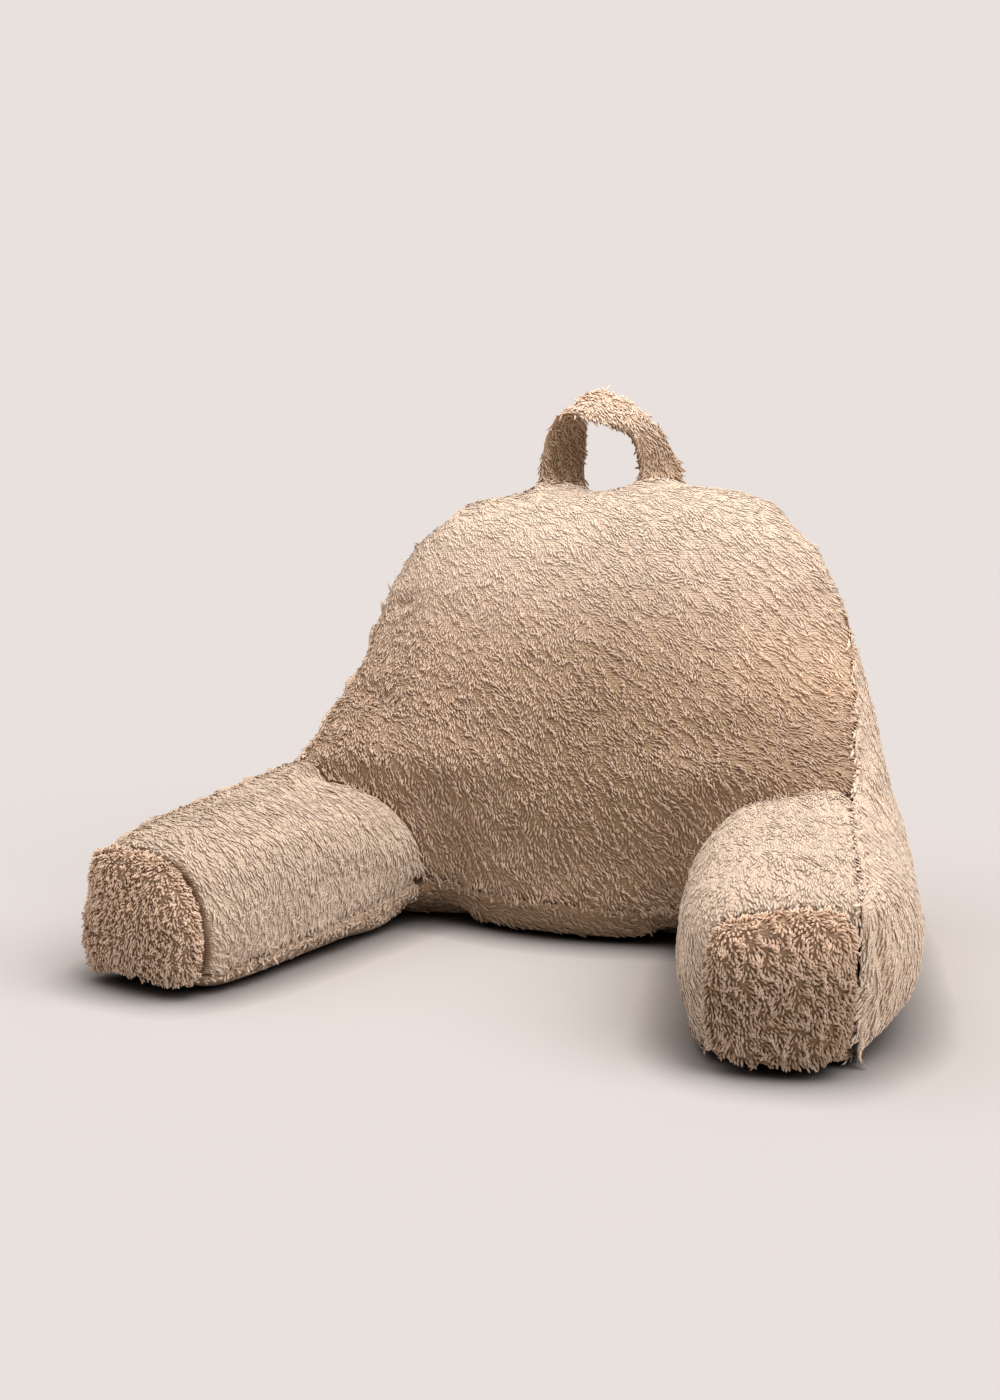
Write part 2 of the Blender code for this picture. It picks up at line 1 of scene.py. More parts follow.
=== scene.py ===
# %% [markdown]
# # A reading cushion in teddy fleece
#
# The cushion is a filled back with two filled arms, sewn from a fabric whose face is a deep curled
# pile. Its shape comes from the CAD model, which is loaded as a fixed frame. This script gives each
# sewn piece its cloth, its soft creases and its pile, and it measures what it makes.

# %% Load the frame
import time
from collections import namedtuple

import bpy
import numpy as np
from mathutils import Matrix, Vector
from mathutils.bvhtree import BVHTree


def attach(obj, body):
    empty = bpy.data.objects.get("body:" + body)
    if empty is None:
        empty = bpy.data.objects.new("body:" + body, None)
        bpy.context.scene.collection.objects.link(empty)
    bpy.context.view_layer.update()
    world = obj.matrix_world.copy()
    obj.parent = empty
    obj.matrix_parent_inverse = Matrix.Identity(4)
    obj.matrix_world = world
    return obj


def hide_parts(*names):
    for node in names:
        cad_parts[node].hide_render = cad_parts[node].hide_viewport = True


started = time.time()
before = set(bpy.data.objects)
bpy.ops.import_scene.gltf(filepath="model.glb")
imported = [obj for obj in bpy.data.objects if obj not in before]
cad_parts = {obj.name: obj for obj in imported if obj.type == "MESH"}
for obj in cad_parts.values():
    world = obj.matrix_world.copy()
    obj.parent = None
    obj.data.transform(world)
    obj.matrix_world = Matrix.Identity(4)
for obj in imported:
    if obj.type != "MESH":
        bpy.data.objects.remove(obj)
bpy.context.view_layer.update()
NODES = sorted(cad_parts)
MM = 0.001
scene = bpy.context.scene

# %% [markdown]
# ## Small tools
#
# Colours are written as the hex values that a paint chart gives, and one function turns them into
# the linear values that Blender calculates with. One more function adds a node, sets it up and
# links it, so that every material reads as a short list of steps.


# %% Colours and nodes
def linear(hex_colour):
    """A hex colour as linear red, green, blue and alpha."""
    channels = np.array([int(hex_colour[i : i + 2], 16) for i in (1, 3, 5)]) / 255
    straight = np.where(channels <= 0.04045, channels / 12.92, ((channels + 0.055) / 1.055) ** 2.4)
    return (*(float(c) for c in straight), 1.0)


def add_node(tree, kind, values=None, links=None, **settings):
    """A node of that kind, with its settings, its sockets' values and what feeds them."""
    node = tree.nodes.new(kind)
    for name, value in settings.items():
        setattr(node, name, value)
    for socket, value in (values or {}).items():
        node.inputs[socket].default_value = value
    for socket, source in (links or {}).items():
        tree.links.new(source, node.inputs[socket])
    return node


print("a mid fleece colour in linear light:", [round(c, 3) for c in linear("#C3A483")])

# %% [markdown]
# ## Room, light and camera
#
# A soft product picture needs three things: a pale floor that runs into a background of the same
# colour, light from all round, and broad lights that give the shape. Here they are two sun lamps
# with a wide angle, one on each side. They are even over the whole floor, so floor and background
# stay one colour. Two softboxes over the cushion light its tops more than its low parts; they are
# linked to the cushion alone, which keeps the floor even. Where the cushion nearly touches the
# floor, a painted contact shadow darkens the floor's paint a little more.

# %% Lamps
Lamp = namedtuple("Lamp", "name azimuth elevation strength width colour")
LAMPS = [
    Lamp("side_window", 80.0, 50.0, 1.8, 60.0, "#FFFFFF"),
    Lamp("other_side", -80.0, 50.0, 0.7, 60.0, "#FFFFFF"),
]
for lamp in LAMPS:
    light = bpy.data.lights.new(lamp.name, "SUN")
    light.energy = lamp.strength
    light.angle = np.radians(lamp.width)
    light.color = linear(lamp.colour)[:3]
    holder = bpy.data.objects.new(lamp.name, light)
    holder.rotation_euler = (np.radians(90 - lamp.elevation), 0.0, np.radians(lamp.azimuth))
    scene.collection.objects.link(holder)

Softbox = namedtuple("Softbox", "name place size power colour")
SOFTBOXES = [
    Softbox("rear_softbox", (0.0, 0.10, 1.20), 0.45, 4.4, "#FFFFFF"),
    Softbox("right_softbox", (0.35, -0.15, 1.00), 0.45, 2.3, "#FFFFFF"),
]
lit_pieces = bpy.data.collections.new("lit_by_the_softboxes")
for box in SOFTBOXES:
    light = bpy.data.lights.new(box.name, "AREA")
    light.shape = "DISK"
    light.size, light.energy, light.color = box.size, box.power, linear(box.colour)[:3]
    holder = bpy.data.objects.new(box.name, light)
    holder.location = box.place
    holder.light_linking.receiver_collection = lit_pieces
    scene.collection.objects.link(holder)
print(len(LAMPS), "wide lamps and", len(SOFTBOXES), "softboxes")

# %% Background and floor
BACKDROP = "#E9E1DD"  # a warm pale grey
ROOM_LIGHT = 0.32  # the room's light on the cushion, against how bright the backdrop looks
world = bpy.data.worlds.new("pale_room")
world.use_nodes = True
room = world.node_tree
background = room.nodes["Background"]
background.inputs["Color"].default_value = linear(BACKDROP)
ray = add_node(room, "ShaderNodeLightPath")
glow = add_node(
    room,
    "ShaderNodeMapRange",
    values={"To Min": ROOM_LIGHT, "To Max": 1.0},
    links={"Value": ray.outputs["Is Camera Ray"]},
)
room.links.new(glow.outputs["Result"], background.inputs["Strength"])
scene.world = world
scene.view_settings.view_transform = "Standard"

FLOOR_HALF = 30.0
SHADOW_REACH, SHADOW_SAMPLES, SHADOW_DEPTH = 60 * MM, 8, 1.1  # a painted contact shadow under the cushion
floor_mesh = bpy.data.meshes.new("floor")
corners = [(-1, -1), (1, -1), (1, 1), (-1, 1)]
corners = [(FLOOR_HALF * x, FLOOR_HALF * y, 0.0) for x, y in corners]
floor_mesh.from_pydata(corners, [], [(0, 1, 2, 3)])
floor = bpy.data.objects.new("floor", floor_mesh)
scene.collection.objects.link(floor)
paint = bpy.data.materials.new("matt_floor_paint")
paint.use_nodes = True
paint_shader = paint.node_tree.nodes["Principled BSDF"]
backdrop = np.array(linear(BACKDROP)[:3])
lamp_light = sum(
    np.array(linear(lamp.colour)[:3]) * lamp.strength * np.sin(np.radians(lamp.elevation)) / np.pi
    for lamp in LAMPS
)
floor_paint = backdrop / (backdrop * ROOM_LIGHT + lamp_light)  # so lit, it looks like the backdrop
# A painted contact shadow: ambient occlusion darkens the floor's paint where the cushion is near.
openness = add_node(
    paint.node_tree,
    "ShaderNodeAmbientOcclusion",
    values={"Distance": SHADOW_REACH},
    samples=SHADOW_SAMPLES,
)
painted_contact_shadow = add_node(
    paint.node_tree,
    "ShaderNodeMath",
    values={1: SHADOW_DEPTH},
    links={0: openness.outputs["AO"]},
    operation="POWER",
)
shaded_paint = add_node(
    paint.node_tree,
    "ShaderNodeVectorMath",
    values={0: floor_paint},
    links={"Scale": painted_contact_shadow.outputs["Value"]},
    operation="SCALE",
)
paint.node_tree.links.new(shaded_paint.outputs["Vector"], paint_shader.inputs["Base Color"])
paint_shader.inputs["Roughness"].default_value = 1.0
paint_shader.inputs["Specular IOR Level"].default_value = 0.0
floor_mesh.materials.append(paint)
print("the floor's paint in linear light:", np.round(floor_paint, 3))

# %% Camera
CAMERA_PLACE = (0.524, -1.4628, 0.436)
LOOKING_DOWN, TURNED_LEFT = 6.37, 21.68  # degrees
LENS = 38.07
camera = bpy.data.objects.new("camera", bpy.data.cameras.new("camera"))
camera.location = CAMERA_PLACE
camera.rotation_euler = (np.radians(90 - LOOKING_DOWN), 0.0, np.radians(TURNED_LEFT))
camera.data.lens = LENS
scene.collection.objects.link(camera)
scene.camera = camera
print("a camera", round(camera.location.length, 2), "m from the origin")

# %% [markdown]
# ## The cloth under the pile
#
# The CAD solids reach as far as the tips of the pile. The knitted cloth that carries the pile lies
# a few millimetres further in, so each piece starts as its CAD solid, remeshed into small even
# faces and drawn in. That keeps the measured shape, which flat panels sewn together in a
# simulation would lose. It is drawn in only where it faces open air: where two pieces are sewn
# together their cloths stay close, and the rounded edges make the seam's valley.

# %% Distances to the neighbours
CLOTH_VOXEL = 7 * MM  # how fine the faces of the cloth are
HANDLE_VOXEL = 3 * MM
PILE_DEPTH = 3.0 * MM  # from the cloth to the CAD surface
SEWN_NEAR = 1.5 * MM  # closer to a neighbour than this, the cloth is sewn to it
SEWN_FAR = 9 * MM


def coordinates(mesh):
    """The points of a mesh as rows of x, y and z."""
    flat = np.empty(len(mesh.vertices) * 3, np.float32)
    mesh.vertices.foreach_get("co", flat)
    return flat.reshape(-1, 3).astype(float)


def point_normals(mesh):
    """The way that the cloth faces at each point."""
    flat = np.empty(len(mesh.vertices) * 3, np.float32)
    mesh.vertices.foreach_get("normal", flat)
    return flat.reshape(-1, 3).astype(float)


def together(names, pieces):
    """The points and faces of several pieces."""
    points, faces = [], []
    for name in names:
        mesh = pieces[name].data
        faces += [[i + len(points) for i in face.vertices] for face in mesh.polygons]
        points += [v.co.copy() for v in mesh.vertices]
    return points, faces


def surface_of(names, pieces):
    """A search tree over the surfaces of several pieces."""
    return BVHTree.FromPolygons(*together(names, pieces))


def distances(tree, points, reach=60 * MM):
    """How far each point is from that surface, up to a reach."""
    found = (tree.find_nearest(Vector(p), reach)[3] for p in points)
    return np.array([reach if d is None else d for d in found])


def ramp(values, low, high):
    """0 below low, 1 above high, smooth between."""
    t = np.clip((np.asarray(values) - low) / (high - low), 0.0, 1.0)
    return t * t * (3 - 2 * t)


neighbours = {name: surface_of([n for n in NODES if n != name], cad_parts) for name in NODES}
print("search trees for", len(neighbours), "pieces")

# %% [markdown]
# The wide folds and the small unevenness of stuffing come from a sum of smooth waves in random
# directions. It has no seams and no grid, and the same seed always gives the same cushion.


# %% Smooth unevenness
WAVES = 24
WAVE_RANGE = (0.75, 1.4)  # the shortest and the longest wave, as shares of the wavelength
USUAL_PEAK = 1.6  # how high such a sum often rises


def wave_set(wavelength, seed):
    """Random wave vectors and phases about one wavelength."""
    rng = np.random.default_rng(seed)
    turned = rng.normal(size=(WAVES, 3))
    turned /= np.linalg.norm(turned, axis=1, keepdims=True)
    lengths = wavelength * rng.uniform(*WAVE_RANGE, (WAVES, 1))
    return turned * 2 * np.pi / lengths, rng.uniform(0, 2 * np.pi, WAVES)


def waves(points, wavelength, seed):
    """An even mix of waves at each point, mostly between -1 and 1."""
    vectors, phases = wave_set(wavelength, seed)
    return np.cos(points @ vectors.T + phases).sum(axis=1) * np.sqrt(2 / WAVES) / USUAL_PEAK


def wave_slopes(points, wavelength, seed):
    """The direction in which waves() grows, about 1 long."""
    vectors, phases = wave_set(wavelength, seed)
    slopes = -np.sin(points @ vectors.T + phases) @ vectors
    return slopes * wavelength / (2 * np.pi) * np.sqrt(2 / WAVES)


print("each unevenness is a sum of", WAVES, "waves")

# %% [markdown]
# ## Creases
#
# Stuffing gives way where the cloth is pulled, so the back has a few dimples along its left edge,
# and the left arm and the right side panel have short wrinkles. Each is a soft trough along a short
# line, which is easier to place and to change than a crease that is sculpted by hand.

# %% Where the creases are
SHALLOWER_AT_ENDS = 0.6
Crease = namedtuple("Crease", "piece start end width depth")
CREASES = [
    Crease("backrest", (-0.300, 0.110, 0.262), (-0.215, 0.060, 0.238), 0.026, 0.007),
    Crease("backrest", (-0.268, 0.170, 0.350), (-0.238, 0.160, 0.362), 0.016, 0.005),
    Crease("backrest", (-0.228, 0.190, 0.436), (-0.212, 0.175, 0.406), 0.016, 0.003),
    Crease("backrest", (-0.140, 0.232, 0.496), (-0.106, 0.212, 0.484), 0.014, 0.003),
    Crease("arm_left", (-0.305, -0.066, 0.178), (-0.220, -0.046, 0.152), 0.014, 0.004),
    Crease("arm_left", (-0.246, -0.152, 0.152), (-0.216, -0.160, 0.137), 0.012, 0.003),
    Crease("side_panel_right", (0.310, 0.045, 0.205), (0.345, 0.060, 0.175), 0.014, 0.004),
    Crease("side_panel_right", (0.384, -0.257, 0.104), (0.387, -0.245, 0.022), 0.011, 0.007),
]


def trough(points, crease):
    """How deep a crease is at each point."""
    start, end = np.array(crease.start), np.array(crease.end)
    along = end - start
    share = np.clip((points - start) @ along / (along @ along), 0, 1)
    away = np.linalg.norm(points - start - share[:, None] * along, axis=1)
    ends = 1 - SHALLOWER_AT_ENDS * np.abs(2 * share - 1) ** 3
    return crease.depth * ends * np.clip(1 - (away / crease.width) ** 2, 0, None) ** 2


print(len(CREASES), "creases")

# %% [markdown]
# ## Filling the pieces
#
# Blender's cloth simulation is the natural way to plump a cushion: the cloth starts a little small,
# air pressure swells it, and the cloth's own stretch rounds the corners. How far a point may move
# is capped, and nothing moves where pieces are sewn together, so that the shape stays the one that
# was measured.

# %% Remesh, swell and crease
PRESSURE = 4.0
SWELL_FRAMES = 20
SWELL_CAP = 6 * MM  # how far a point may move
START_SMALL = 3 * MM  # how much smaller the cloth starts
RELAX_ROUNDS = {"backrest": 30}  # how much the cloth smooths out the CAD solid's facets
RELAX_ELSEWHERE = 8
RELAX_STEP = 0.5  # how much of the way to its neighbours' middle a point moves in one round
STUFFING_WAVE, STUFFING_HEIGHT, STUFFING_SEED = 60 * MM, 1.4 * MM, 5
ON_THE_FLOOR = 20 * MM  # below this the cloth rests on the floor, and stays flat
LOWEST_CLOTH = 1 * MM  # so that the cloth never touches the floor


def remeshed(name, voxel):
    """A new object with the CAD node's shape in small even faces."""
    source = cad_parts[name]
    piece = bpy.data.objects.new("cloth_" + name, source.data.copy())
    scene.collection.objects.link(piece)
    remesh = piece.modifiers.new("even_faces", "REMESH")
    remesh.mode = "VOXEL"
    remesh.voxel_size = voxel
    apply_modifiers(piece)
    return piece


def apply_modifiers(piece):
    """Bakes the modifiers into the mesh, so that none is left."""
    graph = bpy.context.evaluated_depsgraph_get()
    shaped = bpy.data.meshes.new_from_object(piece.evaluated_get(graph))
    piece.modifiers.clear()
    old, piece.data = piece.data, shaped
    bpy.data.meshes.remove(old)
    shaped.name = piece.name


def move_points(mesh, points):
    """Puts the points of a mesh at new places."""
    mesh.vertices.foreach_set("co", points.astype(np.float32).ravel())
    mesh.update()


def swollen(piece):
    """Where the points lie after the pressure has filled the piece."""
    cloth = piece.modifiers.new("air", "CLOTH")
    cloth.settings.use_pressure = True
    cloth.settings.uniform_pressure_force = PRESSURE
    cloth.settings.effector_weights.gravity = 0.0
    cloth.point_cache.frame_start, cloth.point_cache.frame_end = 1, SWELL_FRAMES
    for step in range(1, SWELL_FRAMES + 1):
        scene.frame_set(step)
    graph = bpy.context.evaluated_depsgraph_get()
    points = coordinates(piece.evaluated_get(graph).data)
    piece.modifiers.clear()
    scene.frame_set(1)
    return points


def relaxed(mesh, points, free, rounds):
    """The points after each has moved towards its neighbours a few times, except at seams."""
    edges = np.array([edge.vertices[:] for edge in mesh.edges])
    ends = np.concatenate([edges, edges[:, ::-1]])
    shared = np.bincount(ends[:, 0], minlength=len(points))[:, None]
    for _ in range(rounds):
        sums = [np.bincount(ends[:, 0], points[ends[:, 1], k], len(points)) for k in range(3)]
        points = points + RELAX_STEP * free * (np.stack(sums, 1) / shared - points)
    return points


def fill(name):
    """The cloth of one piece: drawn in, swollen and creased. The handle is a flat strap without
    filling, so it isn't swollen."""
    filled = name != "carry_handle"
    piece = remeshed(name, CLOTH_VOXEL if filled else HANDLE_VOXEL)
    points, normals = coordinates(piece.data), point_normals(piece.data)
    free = ramp(distances(neighbours[name], points), SEWN_NEAR, SEWN_FAR)[:, None]
    drawn_in = points - normals * free * PILE_DEPTH
    if filled:
        small = drawn_in - normals * free * START_SMALL
        move_points(piece.data, small)
        moved = swollen(piece) - small
        length = np.linalg.norm(moved, axis=1, keepdims=True)
        moved *= np.minimum(1, SWELL_CAP / np.maximum(length, 1e-9))
        drawn_in = drawn_in + free * (moved - normals * START_SMALL)
    if filled:
        rounds = RELAX_ROUNDS.get(name, RELAX_ELSEWHERE)
        drawn_in = relaxed(piece.data, drawn_in, free, rounds)
    lumps = waves(points, STUFFING_WAVE, STUFFING_SEED)[:, None] * STUFFING_HEIGHT
    drawn_in = drawn_in + normals * free * lumps * (points[:, 2:] > ON_THE_FLOOR)
    for crease in CREASES:
        if crease.piece == name:
            drawn_in = drawn_in - normals * trough(points, crease)[:, None]
    drawn_in[:, 2] = np.maximum(drawn_in[:, 2], LOWEST_CLOTH)
    move_points(piece.data, drawn_in)
    covered = piece.data.attributes.new("covered", "FLOAT", "POINT")
    away = distances(neighbours[name] if name in OPEN_SEAMS else end_panels, points)
    covered.data.foreach_set("value", ramp(away, SEWN_NEAR, SEWN_FAR).astype(np.float32))
    piece.data.shade_smooth()
    return piece


OPEN_SEAMS = ("end_cap_left", "end_cap_right")  # their seams stay open grooves
end_panels = surface_of(OPEN_SEAMS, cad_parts)
cloths = {}
for name in NODES:
    cloths[name] = fill(name)
    print(name, "has", len(cloths[name].data.polygons), "faces,", round(time.time() - started), "s")

# %% [markdown]
# ## Where the tufts grow
#
# Teddy fleece is knitted with loops of fine polyester that are cut and tumbled until they curl into
# tufts. Tens of thousands of tufts are too many to place by hand. Geometry Nodes scatters their
# roots with an even distance between them. A cloth is first squeezed along the grain of its nap and
# its roots are spread out again, so that they stand further apart along the grain than across it.

# %% Scatter roots
FULL = 4  # enough tries for each root's area to fill a patch
roots_group = bpy.data.node_groups.new("pile_roots", "GeometryNodeTree")
roots_group.interface.new_socket("Cloth", in_out="INPUT", socket_type="NodeSocketGeometry")
roots_group.interface.new_socket("Roots", in_out="OUTPUT", socket_type="NodeSocketGeometry")
cloth_in = add_node(roots_group, "NodeGroupInput")
spread = add_node(
    roots_group,
    "GeometryNodeDistributePointsOnFaces",
    links={"Mesh": cloth_in.outputs["Cloth"]},
    distribute_method="POISSON",
)
kept_normal = add_node(
    roots_group,
    "GeometryNodeStoreNamedAttribute",
    values={"Name": "facing"},
    links={"Geometry": spread.outputs["Points"]},
    data_type="FLOAT_VECTOR",
    domain="POINT",
)
roots_group.links.new(spread.outputs["Normal"], kept_normal.inputs["Value"])
as_points = add_node(
    roots_group, "GeometryNodePointsToVertices", links={"Points": kept_normal.outputs["Geometry"]}
)
add_node(roots_group, "NodeGroupOutput", links={"Roots": as_points.outputs["Mesh"]})


def squeezed(vectors, grain, share):
    """Vectors made shorter along the grain of the nap, to that share of their length there."""
    grain = np.array(grain) / np.linalg.norm(grain)
    return vectors - (1 - share) * np.outer(vectors @ grain, grain)


def scattered(cloth, faces, spacing, grain, apart, seed):
    """Roots on some faces of a cloth, that many times further apart along the grain, and the
    way that each faces."""
    kept = np.where(faces)[0]
    points = squeezed(coordinates(cloth.data), grain, 1 / apart)
    corners = [list(cloth.data.polygons[i].vertices) for i in kept]
    patch_mesh = bpy.data.meshes.new("patch")
    patch_mesh.from_pydata(points.tolist(), [], corners)
    patch_mesh.shade_smooth()
    patch = bpy.data.objects.new("patch", patch_mesh)
    scene.collection.objects.link(patch)
    spread.inputs["Distance Min"].default_value = spacing
    spread.inputs["Density Max"].default_value = FULL / spacing**2
    spread.inputs["Seed"].default_value = seed
    patch.modifiers.new("roots", "NODES").node_group = roots_group
    graph = bpy.context.evaluated_depsgraph_get()
    found = patch.evaluated_get(graph).data
    roots = squeezed(coordinates(found), grain, apart)
    facing = np.empty(len(roots) * 3, np.float32)
    found.attributes["facing"].data.foreach_get("vector", facing)
    facing = squeezed(facing.reshape(-1, 3).astype(float), grain, 1 / apart)
    facing /= np.linalg.norm(facing, axis=1, keepdims=True)
    bpy.data.objects.remove(patch)
    bpy.data.meshes.remove(patch_mesh)
    return roots, facing


def face_facts(mesh):
    """The middles and normals of a mesh's faces."""
    count = len(mesh.polygons)
    middles, normals = np.empty(count * 3, np.float32), np.empty(count * 3, np.float32)
    mesh.polygons.foreach_get("center", middles)
    mesh.polygons.foreach_get("normal", normals)
    return middles.reshape(-1, 3).astype(float), normals.reshape(-1, 3).astype(float)


print("the roots' node group has", len(roots_group.nodes), "nodes")

# %% [markdown]
# ## How the pile lies
#
# Pile has a nap: on each panel the tufts lean one way, more or less steeply. On the ends of the
# arms they stand up and swirl, on the broad back they lie slanting down, and on the handle they are
# long and loose. The table says this in millimetres and degrees for each stretch of pile: the way
# and the angle of the lean, a tuft's length and width, the spacing of the roots and how many times
# further apart they are along the grain. Then, as shares, how unruly the pile is, how strongly it
# clumps, how short its locks are, how pale the painted shade at the tufts' roots is, how softly it
# lies, and its tone, a painted light and shade for the whole stretch: the base is painted darker,
# the arms, the side panels and the left end panel paler.

# %% The nap of each stretch
Nap = namedtuple(
    "Nap",
    "piece lean lift length width spacing apart unruly clump locks gap soft tone side curl",
    defaults=("all", "slim"),
)
NAPS = [
    Nap("backrest", (0.50, 0, -0.87), 16, 9.5, 3.0, 2.15, 2.0, 0.3, 0.4, 0.3,
        0.0, 0.35, 1.0, "front_left"),
    Nap("backrest", (0.62, 0, -0.78), 16, 9.5, 3.0, 2.15, 2.0, 0.32, 0.4, 0.3,
        0.0, 0.35, 1.0, "front_right"),
    Nap("backrest", (0.0, 0.2, -1.0), 16, 12.0, 5.2, 4.0, 1.8, 0.2, 0.4, 0.3,
        0.0, 0.8, 1.1, "behind"),
    Nap("back_base", (0.8, 0, -0.4), 14, 10.5, 4.6, 3.2, 1.6, 0.4, 0.5, 0.6, 0.4, 0.7, 0.72),
    Nap("arm_left", (0.75, -0.3, -0.6), 12, 10.5, 3.4, 2.3, 2.2, 0.2, 0.3, 0.4, 0.8, 0.9, 1.14),
    Nap("arm_right", (0.2, -0.8, -0.5), 10, 10.5, 3.4, 2.3, 2.2, 0.2, 0.3, 0.4, 0.9, 1.0, 1.13),
    Nap("arm_base_left", (0.8, -0.4, -0.3), 14, 10.0, 4.6, 3.2, 1.6, 0.4, 0.5, 0.6, 0.5, 0.75, 1.0),
    Nap("arm_base_right", (-0.3, -0.8, -0.3), 14, 10.0, 4.6, 3.2, 1.6, 0.4, 0.5, 0.6,
        0.5, 0.75, 1.0),
    Nap("end_cap_left", (0.5, 0, -0.8), 54, 7.5, 3.0, 2.05, 1.0, 0.5, 0.9, 1.0,
        0.0, 0.3, 1.3, curl="curled"),
    Nap("end_cap_right", (0.4, 0, -0.8), 50, 7.5, 3.0, 2.05, 1.0, 0.5, 1.0, 0.7,
        0.0, 0.3, 1.0, curl="curled"),
    Nap("side_panel_left", (0, -0.4, -0.9), 12, 11.0, 4.4, 3.3, 1.8, 0.3, 0.4, 0.4, 0.8, 0.85, 1.2),
    Nap("side_panel_right", (0, -0.5, -0.8), 10, 11.0, 3.9, 2.7, 2.2, 0.2, 0.3, 0.4,
        0.95, 0.95, 1.26),
    Nap("carry_handle", (0.3, 0, -0.8), 24, 10.0, 3.4, 2.3, 1.2, 0.4, 0.6, 0.6, 0.4, 0.7, 1.0),
]
UNRULY_WAVE, CLUMP_WAVE = 34 * MM, 9 * MM
LOCK_SEED = 9  # the same locks steer the lean, the length and the painted shade
SMOOTH_FROM, SMOOTH_ABOVE = 0.24, 0.46  # the back turns from rough to smooth at these heights
SMOOTH_AT_TOP, SMOOTH_BEHIND = 1.0, 0.9
PALE_ROOTS_AT_TOP = 0.95  # where the back is smooth, the painted shade at its tufts' roots nearly goes
FRONT_TURN, TOP_TURN = -0.10, 0.25  # how far a face looks forwards or up to be a front face


def on_side(side, middles, normals):
    """Which faces belong to that side of a piece."""
    front = (normals[:, 1] < FRONT_TURN) | (normals[:, 2] > TOP_TURN)
    if side == "front_left":
        return front & (middles[:, 0] < 0)
    if side == "front_right":
        return front & (middles[:, 0] >= 0)
    if side == "behind":
        return ~front
    return np.ones(len(middles), bool)


def unit(vectors):
    """The same ways, each one long."""
    return vectors / np.maximum(np.linalg.norm(vectors, axis=1, keepdims=True), 1e-12)


def in_locks(nap, roots):
    """The roots with the space along the nap shrunk, so that waves there make long locks."""
    return squeezed(roots, nap.lean, nap.locks)


def up_the_back(roots, at_seat, at_top):
    """A measure that goes from one value near the seat to another near the top of the back."""
    return at_seat + (at_top - at_seat) * ramp(roots[:, 2:], SMOOTH_FROM, SMOOTH_ABOVE)


def smoothness(nap, roots):
    """How smoothly the pile lies: as the nap says, but on the back it is all smooth near the
    top, where nothing rubs, and grows rougher towards the seat."""
    if nap.piece == "backrest":
        return up_the_back(roots, nap.soft, SMOOTH_AT_TOP)
    return np.full((len(roots), 1), nap.soft)


print(len(NAPS), "stretches of pile")

# %% [markdown]
# ## Pile over the seams
#
# Where two panels of deep pile are sewn together, the pile closes over the seam and hides it. So
# one skin is laid over all the cloths, roots near a seam are brought up to it, and their tufts lean
# across. Only the end panels' seams are drawn in so far that a groove stays open, with short pile
# in its shade on both sides. Roots that other cloths hide are left out.

# %% One skin, and roots along the seams
SKIN_ROUNDS = 6
SEAM_REACH = 9 * MM
OVER_SEAM = 0.7  # how far the pile beside a closed seam leans across it
LOWEST_CLOSED = 25 * MM  # below this the seams meet the floor, and their pile stays as it grows
HIDDEN_DEPTH = 8 * MM  # roots deeper than this under the skin can't be seen
BLOCKED_WITHIN = 30 * MM  # a neighbour this close above a root covers it,
BLOCKED_EXTRA = 5 * MM  # and then it counts as this much deeper
FACING_DOWN = -0.8  # cloth that faces down and lies on the floor has no pile
TURNS_FIRST = 2  # a root near a seam turns to the skin's way sooner than it moves there


def skin_over_all():
    """A search tree over one skin around all the cloths, which bridges the seams."""
    points, faces = together(NODES, cloths)
    joined = bpy.data.meshes.new("skin")
    joined.from_pydata(points, [], faces)
    skin = bpy.data.objects.new("skin", joined)
    scene.collection.objects.link(skin)
    remesh = skin.modifiers.new("one_skin", "REMESH")
    remesh.mode, remesh.voxel_size = "VOXEL", CLOTH_VOXEL
    apply_modifiers(skin)
    points = relaxed(skin.data, coordinates(skin.data), 1.0, SKIN_ROUNDS)
    move_points(skin.data, points)
    faces = [f.vertices[:] for f in skin.data.polygons]
    tree = BVHTree.FromPolygons([Vector(p) for p in points], faces)
    bpy.data.objects.remove(skin)
    return tree


skin = skin_over_all()
sewn_neighbours, across_groove = {}, {}
for name in NODES:
    others = [n for n in NODES if n != name]
    sewn_neighbours[name] = surface_of([n for n in others if n not in OPEN_SEAMS], cloths)
    across_groove[name] = surface_of(others if name in OPEN_SEAMS else OPEN_SEAMS, cloths)
print("one skin over", len(cloths), "cloths,", round(time.time() - started), "s")


def closed_over_seams(name, roots, facing):
    """The roots that show, with those near a closed seam brought up to the skin over it."""
    near = np.zeros(len(roots))
    if name not in OPEN_SEAMS:
        near = 1 - distances(sewn_neighbours[name], roots, SEAM_REACH) / SEAM_REACH
    near = near * (roots[:, 2] > LOWEST_CLOSED)
    raised, turned, depth = roots.copy(), facing.copy(), np.zeros(len(roots))
    for i, root in enumerate(roots):
        place, way, _, depth[i] = skin.find_nearest(Vector(root))
        if sewn_neighbours[name].ray_cast(Vector(root), Vector(facing[i]), BLOCKED_WITHIN)[0]:
            depth[i] += BLOCKED_EXTRA
        raised[i] += near[i] * (np.array(place) - root)
        turned[i] += min(1.0, TURNS_FIRST * near[i]) * (np.array(way) - facing[i])
    off_floor = (facing[:, 2] > FACING_DOWN) | (roots[:, 2] > ON_THE_FLOOR)
    shown = (depth < HIDDEN_DEPTH) & off_floor
    return raised[shown], unit(turned[shown])


def across_seam(name, roots):
    """The way from each root to the neighbour it is sewn to, fading out away from the seam."""
    ways = np.zeros((len(roots), 3))
    for i, root in enumerate(roots):
        place, _, _, away = sewn_neighbours[name].find_nearest(Vector(root), SEAM_REACH)
        if place is not None and away > 0:
            ways[i] = (np.array(place) - root) / away * (1 - away / SEAM_REACH)
    return ways


